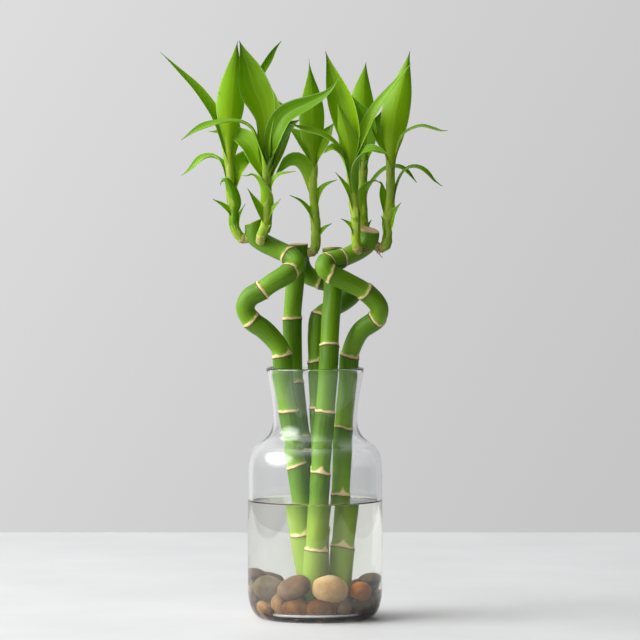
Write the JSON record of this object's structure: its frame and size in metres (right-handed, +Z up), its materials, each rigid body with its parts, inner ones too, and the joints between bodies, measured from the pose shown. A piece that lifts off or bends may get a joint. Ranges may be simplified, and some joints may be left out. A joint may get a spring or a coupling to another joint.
{
  "type": "lucky bamboo in a glass vase",
  "caption": "Lucky bamboo: straight and curled green stalks with leafy shoots, standing in water and river pebbles in a clear glass vase with a flared neck.",
  "frame": {"origin": "centre of the vase's flat foot, on the surface it stands on", "axes": "+Z up; seen from the front, +X to the right and +Y away from the viewer"},
  "size_m": [0.192, 0.0912, 0.3851],
  "materials": {
    "glass": "clear, smooth, colourless soda-lime glass",
    "water": "clear still water",
    "stalk": "smooth waxy green cane with cream node rings",
    "leaf": "satin yellow-green leaf with fine parallel veins",
    "stone_grey": "smooth river pebble, wet",
    "stone_brown": "smooth speckled river pebble, wet",
    "stone_tan": "smooth river pebble, wet",
    "stone_cream": "smooth pale river pebble with faint spots, wet"
  },
  "bodies": {
    "root": {"vase": "glass", "water": "water", "stalk_left_curl": "stalk", "stalk_back_straight": "stalk", "stalk_front_straight": "stalk", "stalk_right_curl": "stalk", "stalk_back_curl": "stalk", "shoot_left_end": "leaf", "shoot_left_front": "leaf", "shoot_middle": "leaf", "shoot_right_front": "leaf", "shoot_right_back": "leaf", "shoot_right_end": "leaf", "pebble_tan_01": "stone_tan", "pebble_tan_02": "stone_tan", "pebble_brown_03": "stone_brown", "pebble_brown_04": "stone_brown", "pebble_grey_05": "stone_grey", "pebble_grey_06": "stone_grey", "pebble_tan_07": "stone_tan", "pebble_brown_08": "stone_brown", "pebble_grey_09": "stone_grey", "pebble_brown_10": "stone_brown", "pebble_tan_11": "stone_tan", "pebble_brown_12": "stone_brown", "pebble_grey_13": "stone_grey", "pebble_grey_14": "stone_grey", "pebble_cream_15": "stone_cream", "pebble_tan_16": "stone_tan", "pebble_grey_17": "stone_grey", "pebble_brown_18": "stone_brown", "pebble_tan_19": "stone_tan", "pebble_brown_20": "stone_brown", "pebble_brown_21": "stone_brown", "pebble_grey_22": "stone_grey", "pebble_tan_23": "stone_tan"}
  },
  "joints": []
}
